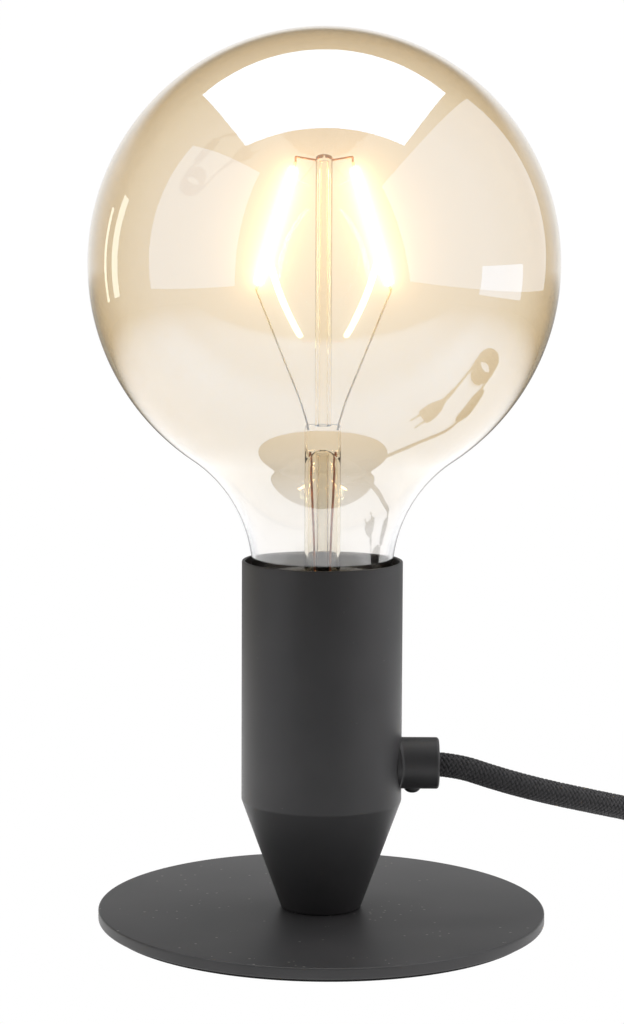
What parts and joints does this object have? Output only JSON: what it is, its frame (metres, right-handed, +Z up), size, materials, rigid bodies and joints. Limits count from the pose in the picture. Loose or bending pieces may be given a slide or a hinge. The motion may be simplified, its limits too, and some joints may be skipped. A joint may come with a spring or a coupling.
{
  "type": "table lamp",
  "caption": "Small table lamp: steel disc base, spun cup body, bare globe filament bulb screwed into it, side-entry textile cord with inline switch and flat plug.",
  "frame": {"origin": "centre of the base's underside, on the table", "axes": "+Z up along the bulb's axis, +X along the cord gland, the picture looks along +Y"},
  "size_m": [0.3688, 0.1253, 0.2395],
  "materials": {
    "black_pad": "die-cut foam rubber",
    "powder_coat": "matt anthracite powder coat",
    "zinc_steel": "zinc-plated steel",
    "black_holder": "moulded thermoset",
    "ceramic_disc": "moulded heat-proof disc",
    "brass_contact": "stamped brass",
    "amber_glass": "clear glass with an amber lustre",
    "clear_glass": "clear glass tube",
    "nickel_cap": "nickel-plated cap",
    "vitrite": "black glass insulator",
    "circuit_board": "circuit board",
    "lit_filament": "lit filament",
    "filament_wire": "nickel wire",
    "copper_wire": "copper wire",
    "black_braid": "fine textile braid",
    "brown_core": "brown insulation",
    "blue_core": "blue insulation",
    "black_plastic": "moulded black plastic",
    "plated_pin": "nickel-plated brass"
  },
  "bodies": {
    "root": {"base_pad": "black_pad", "base_plate": "powder_coat", "base_screw": "zinc_steel", "body_shell": "powder_coat", "foot_insert": "zinc_steel", "threaded_tube": "zinc_steel", "tube_foot_nut": "zinc_steel", "tube_top_nut": "zinc_steel", "holder_base": "black_holder", "holder_sleeve": "black_holder", "terminal_disc": "ceramic_disc", "screw_shell": "brass_contact", "centre_contact": "brass_contact", "side_contact": "brass_contact", "terminal_screws": "zinc_steel", "cord_gland": "powder_coat", "gland_saddle": "black_plastic", "gland_nut": "zinc_steel", "gland_set_screw": "powder_coat", "neutral_wire": "blue_core", "live_wire": "brown_core", "cord_lead": "black_braid", "cord_middle": "black_braid", "cord_coil": "black_braid", "cord_tail": "black_braid", "switch_lower": "black_plastic", "switch_upper": "black_plastic", "switch_pin": "zinc_steel", "switch_contacts": "brass_contact", "switch_screws": "zinc_steel", "plug_body": "black_plastic", "plug_pins": "plated_pin"},
    "bulb_core": {"bulb_contact": "brass_contact"},
    "bulb": {"bulb_glass": "amber_glass", "bulb_cap": "nickel_cap", "bulb_insulator": "vitrite", "bulb_driver": "circuit_board", "bulb_stem": "clear_glass", "bulb_rod": "clear_glass", "filament_left": "lit_filament", "filament_right": "lit_filament", "filament_bridge": "filament_wire", "lead_wire_left": "filament_wire", "lead_wire_right": "filament_wire", "inner_leads": "copper_wire"},
    "rocker": {"switch_rocker": "black_plastic"}
  },
  "joints": [
    {"name": "bulb_lift", "type": "slide", "parent": "root", "child": "bulb_core", "axis": [0, 0, 1], "range_m": [0, 0.01815]},
    {"name": "bulb_turn", "type": "hinge", "parent": "bulb_core", "child": "bulb", "pos_m": [0, 0, 0.0635], "axis": [0, 0, 1], "range_deg": [0, 1800]},
    {"name": "switch_rock", "type": "hinge", "parent": "root", "child": "rocker", "pos_m": [0.177, 0.0478, 0.0144], "axis": [0, 1, 0], "range_deg": [-16, 0]}
  ],
  "couplings": [
    {"joint": "bulb_lift", "follows": "bulb_turn", "m_per_rad": 0.00057757}
  ]
}
